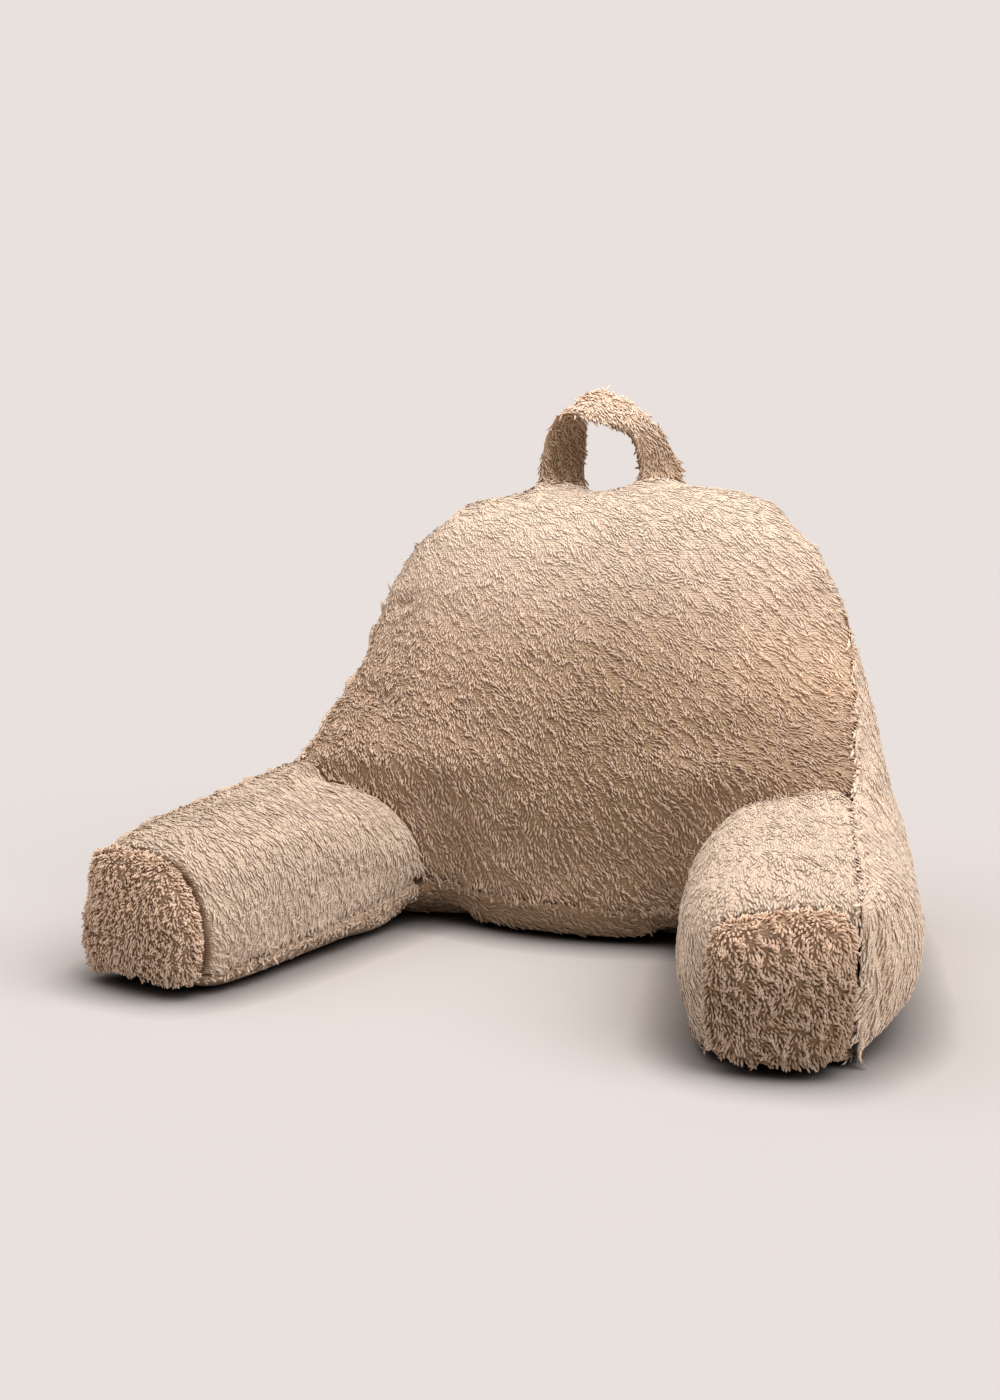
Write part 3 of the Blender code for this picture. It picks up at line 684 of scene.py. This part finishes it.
def leaning(nap, roots, facing, seed):
    """The way in which each tuft leans, along the cloth and in towards its lock."""
    lean = np.tile(np.array(nap.lean), (len(roots), 1))
    drift = [waves(roots, UNRULY_WAVE, seed + k) for k in range(3)]
    lean = lean + nap.unruly * np.stack(drift, axis=1)
    lean = lean + nap.clump * wave_slopes(in_locks(nap, roots), CLUMP_WAVE, seed + LOCK_SEED)
    if nap.piece not in OPEN_SEAMS:
        lean = lean + OVER_SEAM * across_seam(nap.piece, roots)
    return unit(lean - (lean * facing).sum(axis=1, keepdims=True) * facing)

# %% [markdown]
# ## Painted light and shade from place to place
#
# Light and shade are painted into the fleece's colour as a tone. A few soft spots on the back are
# painted darker as shade, and paler as light above the right arm and by the right side panel. The
# back is painted paler towards its top, the end panels darker at their foot, the left arm's inner
# side darker, and the handle paler at its top and darker where it faces its own hole. A tone
# multiplies the colour, so 1 leaves it as it is.

# %% Tones
Spot = namedtuple("Spot", "place reach darker")
PAINTED_LIGHT_AND_SHADE_SPOTS = [  # painted shade on the back, and painted light where darker is below 0: above the right arm and by the right side panel
    Spot((0.037, 0.090, 0.299), 0.10, 0.12),
    Spot((0.016, 0.017, 0.159), 0.09, 0.13),
    Spot((0.204, 0.044, 0.209), 0.07, 0.12),
    Spot((0.036, 0.165, 0.430), 0.09, 0.10),
    Spot((0.228, 0.123, 0.302), 0.08, -0.18),
    Spot((0.310, 0.135, 0.300), 0.05, -0.30),
]
# Painted light and shade: the back paler towards its top, an end panel darker at its foot, the left
# arm's inner side darker, and the handle paler at its top and darker where it faces its own hole.
BACK_LOW, BACK_RISE, BACK_HEIGHTS = 1.07, 0.05, (0.14, 0.50)  # a little paler towards the top
CAP_FOOT, CAP_RISE, CAP_HEIGHTS = 0.90, 0.60, (0.06, 0.13)  # an end panel is darker at its foot
CAP_MOST = {"end_cap_left": 1.05, "end_cap_right": 1.45}
ARM_FALL, ARM_INWARD = 0.08, (0.5, 0.9)  # the left arm's inner side is a little darker
HANDLE_LOW, HANDLE_RISE, HANDLE_HEIGHTS = 0.84, 0.38, (0.54, 0.59)  # paler at its top,
HANDLE_INSIDE, HANDLE_INWARD = 0.42, (0.1, 0.6)  # and darker where it faces its own hole
HAND_HOLE = np.array((-0.026, 0.262, 0.530))


def painted_light_and_shade(nap, roots, facing):
    """How pale the pile is painted from place to place: painted light and shade."""
    height = roots[:, 2]
    if nap.piece == "backrest":
        tone = BACK_LOW + BACK_RISE * ramp(height, *BACK_HEIGHTS)
        # painted shade, or painted light, at each spot
        for spot in PAINTED_LIGHT_AND_SHADE_SPOTS:
            away = np.linalg.norm(roots - spot.place, axis=1) / spot.reach
            tone *= 1 - spot.darker * np.exp(-(away**2))
        return tone
    if nap.piece in CAP_MOST:
        tone = CAP_FOOT + CAP_RISE * ramp(height, *CAP_HEIGHTS)
        return np.minimum(tone, CAP_MOST[nap.piece])
    if nap.piece == "arm_left":
        return 1 - ARM_FALL * ramp(facing[:, 0], *ARM_INWARD)
    if nap.piece == "carry_handle":
        inward = (unit(HAND_HOLE - roots) * facing).sum(axis=1)
        tone = HANDLE_LOW + HANDLE_RISE * ramp(height, *HANDLE_HEIGHTS)
        return tone * (1 - HANDLE_INSIDE * ramp(inward, *HANDLE_INWARD))
    return np.ones(len(roots))


print(len(PAINTED_LIGHT_AND_SHADE_SPOTS), "spots on the back")

# %% [markdown]
# ## The tufts
#
# A tuft is a bent spike with a three-cornered section, closed to a point at its root and at its
# tip. It starts steeply and bends over, as a curl does, and where the pile is smooth it lies flat
# and thin. Blender's own hair would render as threads, without the width of a tuft, so all tufts of
# a stretch are worked out at once as arrays.

# %% The points of a stretch's tufts
SIZE_RANGE, LONGER_IN_LOCKS = (0.75, 1.2), 0.18  # tufts grow longer on the crest of a lock
WIDTH_RANGE = (0.8, 1.2)
GROOVE_NEAR, GROOVE_FAR, GROOVE_SHORT = 4 * MM, 14 * MM, 0.35  # shorter pile along a groove
TURN_SPREAD, TIP_SPREAD = 0.12, 0.14  # how far tufts and their tips stray sideways
LIFT_IN_LOCKS, LIFT_SPREAD = 10, 9  # degrees
TIED_DOWN, STRAIGHTER = 0.85, 0.5  # how much of its lift and its bend a smooth tuft loses
STEEPER_AT_ROOT, FLATTER_AT_TIP = 26.0, 20.0  # degrees about the lean's own angle
ROOT_ANGLES, TIP_ANGLES = (5, 88), (-14, 80)  # degrees, the least and the most
ROOT_SUNK, SUNK_LESS = 0.8 * MM, 0.75
THICK, THIN = 0.85, 0.12  # a tuft's thickness, as a share of its width, where rough and smooth
SIDES = 3
RING = np.radians([90, 210, 330])  # a crown and two sides
# Along a tuft: how far up each ring of points sits, and its half width, between root and tip.
TUFT_FORMS = {
    "slim": [(0.30, 0.42), (0.74, 0.40)],
    "curled": [(0.25, 0.36), (0.58, 0.50), (0.86, 0.36)],
}
LOWEST_TUFT = 0.6 * MM
SHADE_IN_LOCKS, SHADE_RANGE = 0.12, (0.94, 1.05)
SEAM_CLEAR = 5.0 * MM  # bare cloth on both sides of a groove
GROOVE_TONE, GROOVE_SHADE = 0.55, 9 * MM  # the pile beside a groove lies in its shade


def tufts(nap, roots, facing, seed):
    """The points of each tuft of one stretch, and the tone of each tuft, with its painted light and
    shade.
    """
    rng = np.random.default_rng(seed)
    count = len(roots)
    smooth = smoothness(nap, roots)
    lean = leaning(nap, roots, facing, seed)
    side = np.cross(facing, lean)
    lock = waves(in_locks(nap, roots), CLUMP_WAVE, seed + LOCK_SEED)[:, None]
    size = rng.uniform(*SIZE_RANGE, (count, 1)) * (1 + LONGER_IN_LOCKS * lock)
    groove = distances(across_groove[nap.piece], roots)
    size *= GROOVE_SHORT + (1 - GROOVE_SHORT) * ramp(groove, GROOVE_NEAR, GROOVE_FAR)[:, None]
    length = nap.length * MM * size
    width = nap.width * MM * rng.uniform(*WIDTH_RANGE, (count, 1))
    lean = unit(lean + side * rng.normal(0, TURN_SPREAD, (count, 1)))
    side = np.cross(facing, lean)
    loose = 1 - TIED_DOWN * smooth
    bend = 1 - STRAIGHTER * smooth
    lift = (nap.lift + LIFT_IN_LOCKS * lock + rng.normal(0, LIFT_SPREAD, (count, 1))) * loose
    low = np.radians(np.clip(lift + STEEPER_AT_ROOT * bend, *ROOT_ANGLES))
    high = np.radians(np.clip(lift - FLATTER_AT_TIP * bend, *TIP_ANGLES))
    first = np.cos(low) * lean + np.sin(low) * facing
    second = np.cos(high) * lean + np.sin(high) * facing
    second = unit(second + side * rng.normal(0, TIP_SPREAD, (count, 1)))
    start = roots - facing * ROOT_SUNK * (1 - SUNK_LESS * smooth)
    thickness = THICK + (THIN - THICK) * smooth
    rings = []
    for share, half in TUFT_FORMS[nap.curl]:
        centre = start + length * (first * (share - share**2 / 2) + second * share**2 / 2)
        axis = unit(first * (1 - share) + second * share)
        upward = np.cross(axis, side)
        for angle in RING:
            out = np.cos(angle) * side + np.sin(angle) * upward * thickness
            rings.append(centre + out * width * half)
    tip = start + length * (first + second) / 2
    points = np.stack([start, *rings, tip], axis=1)
    points[:, :, 2] = np.maximum(points[:, :, 2], LOWEST_TUFT)
    # A tuft on a lock's crest is painted paler and one between locks darker: painted light and
    # shade.
    in_lock = 1 + SHADE_IN_LOCKS * lock[:, 0] * loose[:, 0]
    shades = nap.tone * painted_light_and_shade(nap, roots, facing) * in_lock
    shades *= GROOVE_TONE + (1 - GROOVE_TONE) * ramp(groove, SEAM_CLEAR, GROOVE_SHADE)
    return points, shades * rng.uniform(*SHADE_RANGE, count)


print("a slim tuft has", SIDES * len(TUFT_FORMS["slim"]) + 2, "points")

# %% [markdown]
# ## One mesh for each stretch
#
# Every tuft of a stretch has the same faces over its own points, so one small pattern of triangles
# is repeated for all. Each point also stores how far up its tuft it sits, which sets its painted
# shade at the root and painted light at the tip, and its tuft's tone of painted light and shade,
# and the material reads both.

# %% The faces and the mesh
CROWN_AND_SIDES = [1.0, 0.45, 0.45]  # how pale a tuft's crown and its sides are painted: a painted highlight on the crown, painted shade on the sides
LOW_RING, RING_RISE = 0.4, 0.6  # how pale a ring is painted, from painted shade at the root to painted light at the tip
TIP_SHARE = 0.9


def tuft_faces(rings):
    """The triangles of one tuft: from its root to the first ring, between rings, to its tip."""
    faces = []
    last = SIDES * (rings - 1) + 1
    for k in range(SIDES):
        after = (k + 1) % SIDES
        faces.append((1 + after, 1 + k, 0))
        for low in range(1, last, SIDES):
            high = low + SIDES
            faces += [(low + k, low + after, high + after), (low + k, high + after, high + k)]
        faces.append((last + k, last + after, last + SIDES))
    return np.array(faces)


def tuft_heights(nap, roots):
    """How far up its tuft each point is, from 0 at a root painted dark, painted shade in a gap, to
    1 at a tip painted pale, painted light; a crown is painted paler than its sides.
    """
    shares = [0.0]
    for share, _ in TUFT_FORMS[nap.curl]:
        shares += [(LOW_RING + RING_RISE * share) * pale for pale in CROWN_AND_SIDES]
    shares.append(TIP_SHARE)
    gap = np.full((len(roots), 1), nap.gap)
    if nap.piece == "backrest":  # the painted shade at the roots fades towards the top, where the tufts lie flatter and closer
        gap = up_the_back(roots, nap.gap, PALE_ROOTS_AT_TOP)
    return gap + (1 - gap) * np.array(shares)[None]


def pile_mesh(name, nap, roots, points, shades):
    """One mesh from all tufts, with how high up its tuft a point is and its tuft's shade."""
    count, corners = points.shape[:2]
    starts = (np.arange(count) * corners)[:, None, None]
    faces = (starts + tuft_faces(len(TUFT_FORMS[nap.curl]))[None]).reshape(-1, 3)
    mesh = bpy.data.meshes.new(name)
    mesh.vertices.add(count * corners)
    mesh.vertices.foreach_set("co", points.astype(np.float32).ravel())
    mesh.loops.add(faces.size)
    mesh.loops.foreach_set("vertex_index", faces.astype(np.int32).ravel())
    mesh.polygons.add(len(faces))
    mesh.polygons.foreach_set("loop_start", np.arange(0, faces.size, 3, dtype=np.int32))
    mesh.update(calc_edges=True)
    mesh.shade_smooth()
    up_tuft = mesh.attributes.new("up_tuft", "FLOAT", "POINT")
    up_tuft.data.foreach_set("value", tuft_heights(nap, roots).ravel().astype(np.float32))
    shade = mesh.attributes.new("tuft_shade", "FLOAT", "POINT")
    shade.data.foreach_set("value", np.repeat(shades, corners).astype(np.float32))
    return mesh


print("a slim tuft has", len(tuft_faces(len(TUFT_FORMS["slim"]))), "triangles")

# %% Grow the pile
FIRST_SEED, SEED_STEP = 100, 20
piles = {}
triangles = 0
for number, nap in enumerate(NAPS):
    cloth = cloths[nap.piece]
    middles, normals = face_facts(cloth.data)
    faces = on_side(nap.side, middles, normals)
    seed = FIRST_SEED + SEED_STEP * number
    roots, facing = scattered(cloth, faces, nap.spacing * MM, nap.lean, nap.apart, seed)
    clear = distances(across_groove[nap.piece], roots) > SEAM_CLEAR
    roots, facing = closed_over_seams(nap.piece, roots[clear], facing[clear])
    points, shades = tufts(nap, roots, facing, seed)
    name = "pile_" + nap.piece + ("" if nap.side == "all" else "_" + nap.side)
    pile = bpy.data.objects.new(name, pile_mesh(name, nap, roots, points, shades))
    scene.collection.objects.link(pile)
    piles[name] = (pile, nap.piece)
    triangles += len(pile.data.polygons)
    print(name, len(roots), "tufts,", len(pile.data.polygons), "triangles")
print("pile in all:", triangles, "triangles,", round(time.time() - started), "s")

# %% [markdown]
# ## Polyester teddy fleece
#
# The fibre is matt polyester. A tuft is painted pale at its tip, painted light for light that
# passes through loose fibres, and darker in colour towards its root, painted shade for light that
# bounces between neighbours. A darker tone is also painted richer, as bounced light is. The soft
# edge that fleece shows against the light is sheen. The knitted backing shows only as fine ribs in
# the grooves, its dark colour and darker rib valleys painted shade there; elsewhere it takes the
# colour between the tufts, painted darker where the pile is rough.

# %% Pile and backing materials
# From tip to root: the pale tip is painted light, the darker root colour painted shade between
# tufts.
TIP, HALF_WAY, ROOT = "#E0CBB7", "#CEAF94", "#8A6040"
BETWEEN_TUFTS = "#D8BEA6"
# The bare knit in the grooves: its dark colour is painted shade, its rib valleys painted darker
# than its crests.
RIB_VALLEY, RIB_CREST = "#644833", "#80604A"
RIB_SCALE, RIB_WANDER, RIB_HEIGHT, RIB_RELIEF = 130.0, 1.5, 1 * MM, 0.6
ROUGHNESS, SHINE = 0.95, 0.15
SHEEN, SHEEN_SPREAD, SHEEN_COLOUR = 0.1, 0.5, "#F4E2D0"
DARK, RICHER, PALER = 0.4, 1.45, 0.96  # saturation at a dark tone, and at a tone of 1: darker tones are painted richer, as bounced light is
ROUGH_TONE = 0.3  # how dark the cloth between rough tufts is painted: painted shade between them


def polyester(name):
    """A new matt material: the material, its nodes and its shader."""
    material = bpy.data.materials.new(name)
    material.use_nodes = True
    shader = material.node_tree.nodes["Principled BSDF"]
    shader.inputs["Roughness"].default_value = ROUGHNESS
    shader.inputs["Specular IOR Level"].default_value = SHINE
    return material, material.node_tree, shader


def toned(tree, values=None, links=None):
    """A colour made as pale as the stored tone says, and richer where that is dark: painted light
    and shade.
    """
    tone = add_node(tree, "ShaderNodeAttribute", attribute_name="tuft_shade").outputs["Fac"]
    richness = add_node(
        tree,
        "ShaderNodeMapRange",
        values={"From Min": DARK, "To Min": RICHER, "To Max": PALER},
        links={"Value": tone},
    )
    links = {**(links or {}), "Value": tone, "Saturation": richness.outputs["Result"]}
    return add_node(tree, "ShaderNodeHueSaturation", values, links).outputs["Color"]


def fleece_pile():
    """The material of the tufts."""
    material, tree, shader = polyester("polyester_teddy_pile")
    height = add_node(tree, "ShaderNodeAttribute", attribute_name="up_tuft")
    along = add_node(tree, "ShaderNodeValToRGB", links={"Fac": height.outputs["Fac"]})
    stops = along.color_ramp.elements
    stops[0].color, stops[1].color = linear(ROOT), linear(TIP)
    stops.new(0.5).color = linear(HALF_WAY)
    tuft_colour = toned(tree, links={"Color": along.outputs["Color"]})
    tree.links.new(tuft_colour, shader.inputs["Base Color"])
    shader.inputs["Sheen Weight"].default_value = SHEEN
    shader.inputs["Sheen Roughness"].default_value = SHEEN_SPREAD
    shader.inputs["Sheen Tint"].default_value = linear(SHEEN_COLOUR)
    return material


def knitted_backing():
    """The material of the cloth under the tufts."""
    material, tree, shader = polyester("knitted_polyester_backing")
    place = add_node(tree, "ShaderNodeTexCoord")
    ribs = add_node(
        tree,
        "ShaderNodeTexWave",
        values={"Scale": RIB_SCALE, "Distortion": RIB_WANDER},
        links={"Vector": place.outputs["Object"]},
        bands_direction="Z",
    )
    knit = add_node(tree, "ShaderNodeValToRGB", links={"Fac": ribs.outputs["Color"]})
    stops = knit.color_ramp.elements
    stops[0].color, stops[1].color = linear(RIB_VALLEY), linear(RIB_CREST)
    bump = add_node(
        tree,
        "ShaderNodeBump",
        values={"Strength": RIB_RELIEF, "Distance": RIB_HEIGHT},
        links={"Height": ribs.outputs["Color"]},
    )
    covered = add_node(tree, "ShaderNodeAttribute", attribute_name="covered")
    bare, under_pile, mixed = 6, 7, 2  # the colour sockets of a Mix node
    between = add_node(
        tree,
        "ShaderNodeMix",
        links={
            "Factor": covered.outputs["Fac"],
            bare: knit.outputs["Color"],
            under_pile: toned(tree, values={"Color": linear(BETWEEN_TUFTS)}),
        },
        data_type="RGBA",
    )
    tree.links.new(between.outputs[mixed], shader.inputs["Base Color"])
    tree.links.new(bump.outputs["Normal"], shader.inputs["Normal"])
    return material


def tone_of_cloth(cloth, nap):
    """The tone between the tufts, painted light and shade: nearly theirs where the pile is smooth,
    painted darker where rough.
    """
    points, facing = coordinates(cloth.data), point_normals(cloth.data)
    smooth = smoothness(nap, points)[:, 0]
    if nap.piece == "backrest":
        smooth = np.where(facing[:, 1] > -FRONT_TURN, SMOOTH_BEHIND, smooth)
    tone = nap.tone * painted_light_and_shade(nap, points, facing) * (ROUGH_TONE + (1 - ROUGH_TONE) * smooth)
    shade = cloth.data.attributes.new("tuft_shade", "FLOAT", "POINT")
    shade.data.foreach_set("value", tone.astype(np.float32))


def cover(pieces, material):
    """Gives each piece that material and no other."""
    for piece in pieces:
        piece.data.materials.clear()
        piece.data.materials.append(material)


for nap in NAPS:
    if nap.side in ("all", "front_left"):
        tone_of_cloth(cloths[nap.piece], nap)
cover([pile for pile, _ in piles.values()], fleece_pile())
cover(cloths.values(), knitted_backing())
print(len(piles), "stretches of pile and", len(cloths), "cloths have their materials")

# %% [markdown]
# ## Joining it to the frame
#
# Each cloth stands for its CAD solid and each stretch of pile goes with its cloth.

# %% Ride and replace
for name, cloth in cloths.items():
    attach(cloth, "root")
    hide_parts(name)
    lit_pieces.objects.link(cloth)
for pile, name in piles.values():
    pile.parent = cloths[name]
    lit_pieces.objects.link(pile)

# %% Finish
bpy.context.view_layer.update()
print("made in", round(time.time() - started), "s")
